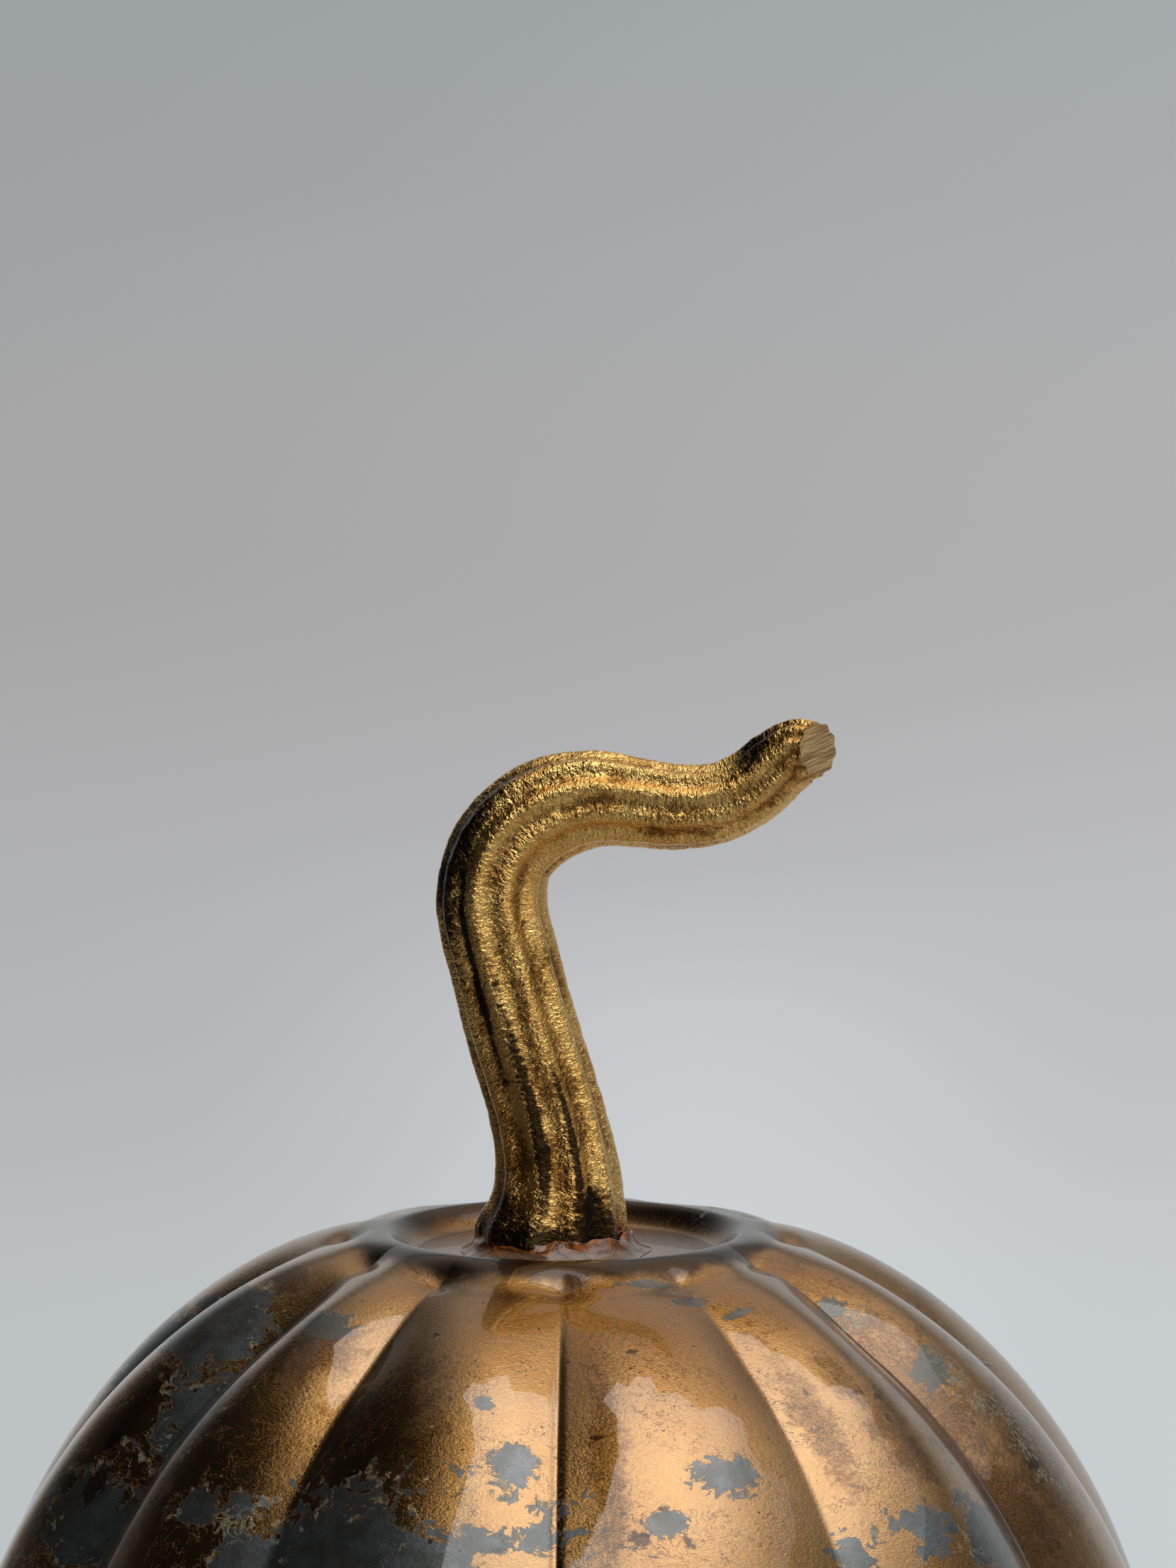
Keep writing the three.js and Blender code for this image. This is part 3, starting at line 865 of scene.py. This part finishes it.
# ---- Stopper ----
def stopper():
    """A soft bung with a finger recess and a fine round groove underneath, and sealing ribs."""
    bottom, top = stopper_low.z, stopper_high.z
    head_radius = (stopper_high.x - stopper_low.x) / 2
    head_top = bottom + STOPPER_HEAD
    shank = FILL_HOLE_RADIUS - STOPPER_CLEARANCE
    ceiling = bottom + RECESS_DEPTH
    rounding = 0.9
    outline = [(0, ceiling), (RECESS_RADIUS * 0.5, ceiling)]
    outline += list(arc((RECESS_RADIUS - 0.8, ceiling - 0.8), 0.8, 90, 0, 6))
    outline += [(RECESS_RADIUS + 0.2, bottom + 5), (RECESS_RADIUS + 0.4, bottom + 2.5)]
    outline += list(arc((RECESS_RADIUS + 1.3, bottom + 0.7), 0.7, 180, 270, 6))
    outline += [(RECESS_RADIUS + 3.4, bottom)]
    outline += list(arc((RECESS_RADIUS + 4.2, bottom), 0.35, 180, 0, 7))[1:-1]
    outline += [(RECESS_RADIUS + 5, bottom)]
    outline += list(arc((head_radius - rounding, bottom + rounding), rounding, 270, 360, 7))
    outline += list(arc((head_radius - 0.6, head_top - 0.6), 0.6, 0, 90, 5))
    outline += [(shank + 0.7, head_top)]
    outline += list(arc((shank + 0.3, head_top + 0.3), 0.35, 270, 180, 4))
    neck = head_top + 4.4
    outline += [(shank - 0.1, head_top + 1.5), (shank - 0.1, neck)]
    for ring in range(SEALING_RIBS):
        level = neck + 1 + ring * SEALING_RIB_PITCH
        outward = shank - 0.35 - 0.3 * ring
        outline += list(arc((outward - 0.45, level), 0.45, -90, 90, 7))
        outline += [(outward - 0.6, level + 1.1)]
    outline += [(STOPPER_TIP_RADIUS, top - 1.6)]
    outline += list(arc((STOPPER_TIP_RADIUS - 1.2, top - 1.2), 1.2, 0, 90, 7))
    outline += [(STOPPER_TIP_RADIUS * 0.5, top), (0, top)]
    material = surface("stopper_rubber", stopper_rubber)
    centre = (axis_x, axis_y)
    plug = turned("rubber_stopper", outline[::-1], 128, centre, material, None, 45)
    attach(plug, "stopper")
    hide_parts("base_stopper")


# ---- Feet ----
def feet():
    material = surface("clear_bumper", clear_bumper)
    for index in range(4):
        low, high = (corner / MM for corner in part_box(f"bumper_foot_{index + 1}"))
        radius = (high.x - low.x) / 2
        top = high.z
        edge = radius - FOOT_FACE_RADIUS
        dome = [
            (FOOT_FACE_RADIUS + edge * math.sin(t), FOOT_DOME * (1 - math.cos(t)))
            for t in np.linspace(0, math.pi / 2, 14)
        ]
        outline = [(0, top), (radius * 0.5, top), (radius - 0.25, top), (radius, top - 0.2)]
        outline += dome[::-1] + [(FOOT_FACE_RADIUS * 0.5, 0), (0, 0)]
        centre = ((low + high) / 2).xy
        name = f"clear_bumper_{index + 1}"
        foot = turned(name, outline, 64, centre, material, None, 50)
        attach(foot, "pumpkin")
        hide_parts(f"bumper_foot_{index + 1}")


# ---- Stage ----
def stage_mesh(name, points, faces):
    mesh = bpy.data.meshes.new(name)
    mesh.from_pydata(points, [], faces)
    thing = bpy.data.objects.new(name, mesh)
    bpy.context.scene.collection.objects.link(thing)
    return thing


def floor():
    """A pale floor that thins out into the plain backdrop, so that it has no edge."""
    half = FLOOR_HALF_SIZE
    corners = [(-half, -half, 0), (half, -half, 0), (half, half, 0), (-half, half, 0)]
    sheet = stage_mesh("floor", corners, [(0, 1, 2, 3)])
    material = bpy.data.materials.new("pale_floor")
    g = Graph(material)
    place = g.add("TexCoord", {}).outputs["Object"]
    distance = g.add("VectorMath", {0: place}, operation="LENGTH").outputs["Value"]
    speckle = g.noise(place, 260, 3, 0.6)
    colour = g.mix(g.fade(speckle, 0.3, 0.7), FLOOR_DARK, FLOOR_PALE)
    paper = g.add("BsdfPrincipled", {"Base Color": colour, "Roughness": 0.75}).outputs[0]
    nothing = g.add("BsdfTransparent", {}).outputs[0]
    underside = g.add("NewGeometry", {}).outputs["Backfacing"]
    hidden = g.most(g.fade(distance, *FLOOR_CLEARING), underside)
    mixed = g.add("MixShader", {0: hidden, 1: paper, 2: nothing})
    g.add("OutputMaterial", {"Surface": mixed.outputs[0]})
    sheet.data.materials.append(material)


def overhead_panel():
    """A large soft window of light above, with an uneven back edge, which dims towards the right."""
    points = [(x * PANEL_RISE, y * PANEL_RISE, PANEL_RISE + PANEL_FROM) for x, y in PANEL_OUTLINE]
    panel = stage_mesh("overhead_panel", points, [tuple(range(len(points)))])
    material = bpy.data.materials.new("panel_light")
    g = Graph(material)
    aside = g.split(g.add("TexCoord", {}).outputs["Object"])[0]
    dim_from, dim_to = (share * PANEL_RISE for share in PANEL_DIMMING)
    strength = g.fade(aside, dim_from, dim_to, PANEL_BRIGHTNESS, PANEL_BRIGHTNESS * PANEL_DIMMED)
    glow = g.add("Emission", {"Color": PANEL_TINT, "Strength": strength})
    g.add("OutputMaterial", {"Surface": glow.outputs[0]})
    panel.data.materials.append(material)
    panel.visible_camera = False


def backdrop():
    """The world: a plain grey backdrop for the camera, and a dim studio for light and reflections."""
    world = bpy.data.worlds.new("studio")
    bpy.context.scene.world = world
    g = Graph(world)
    direction = g.add("TexCoord", {}).outputs["Generated"]
    x, y, z = g.split(direction)

    # What the camera sees, from the top of the wall down to the table.
    wall = g.mix(g.fade(z, 0.05, -0.05), WALL_TOP, WALL_MIDDLE)
    wall = g.mix(g.fade(z, -0.05, -0.13), wall, WALL_FOOT)
    wall = g.mix(g.fade(z, -0.12, -0.20), wall, TABLE_TONE)
    middle = g.fade(g.math("ABSOLUTE", x), 0.085, 0.0)
    glow = g.times(middle, g.fade(z, -0.10, -0.14), g.fade(z, -0.24, -0.15))
    side = g.plus(g.fade(x, -0.15, 0.15, *SIDE_LEVELS), g.times(glow, GLOW_LEVEL))
    seen = g.add("Background", {"Color": wall, "Strength": side}).outputs[0]

    # What the object sees: the pale backdrop behind, a dark room on the left and a brighter one on the
    # right, a pale window low in front, and a warm ceiling above and behind.
    behind = g.times(g.fade(y, 0.40, 0.80), g.fade(z, 0.62, 0.30), g.fade(x, -0.62, -0.32))
    right = g.fade(x, 0.0, 0.75)
    low = g.fade(z, 0.35, 0.0)
    ceiling = g.times(g.fade(z, 0.5, 0.7), g.fade(y, 0.0, 0.3), g.fade(x, -0.5, -0.1))
    window = g.times(g.fade(z, 0.45, 0.05), g.fade(y, 0.1, -0.6), g.fade(x, -0.55, 0.35))
    dim = g.plus(ROOM_LEVEL, g.times(right, RIGHT_LEVEL), g.times(low, LOW_LEVEL))
    room = g.plus(dim, g.times(ceiling, CEILING_LEVEL), g.times(window, WINDOW_LEVEL))
    level = g.plus(g.times(behind, BACKDROP_LEVEL), g.times(room, g.math("SUBTRACT", 1.0, behind)))
    tint = g.mix(ceiling, ROOM_TINT, CEILING_TINT)
    light = g.add("Background", {"Color": tint, "Strength": level}).outputs[0]
    camera_ray = g.add("LightPath", {}).outputs["Is Camera Ray"]
    both = g.add("MixShader", {0: camera_ray, 1: light, 2: seen})
    g.add("OutputWorld", {"Surface": both.outputs[0]})


def camera():
    data = bpy.data.cameras.new("camera")
    data.lens = CAMERA_LENS
    thing = bpy.data.objects.new("camera", data)
    azimuth, elevation = math.radians(CAMERA_AZIMUTH), math.radians(CAMERA_ELEVATION)
    level = math.cos(elevation)
    back = Vector((math.sin(azimuth) * level, -math.cos(azimuth) * level, math.sin(elevation)))
    thing.location = CAMERA_TARGET + back * CAMERA_DISTANCE
    thing.rotation_mode = "QUATERNION"
    thing.rotation_quaternion = (-back).to_track_quat("-Z", "Y")
    bpy.context.scene.collection.objects.link(thing)
    bpy.context.scene.camera = thing
    bpy.context.scene.view_settings.view_transform = "Standard"


glass_body()
gold_stem()
glue()
stopper()
feet()
floor()
overhead_panel()
backdrop()
camera()
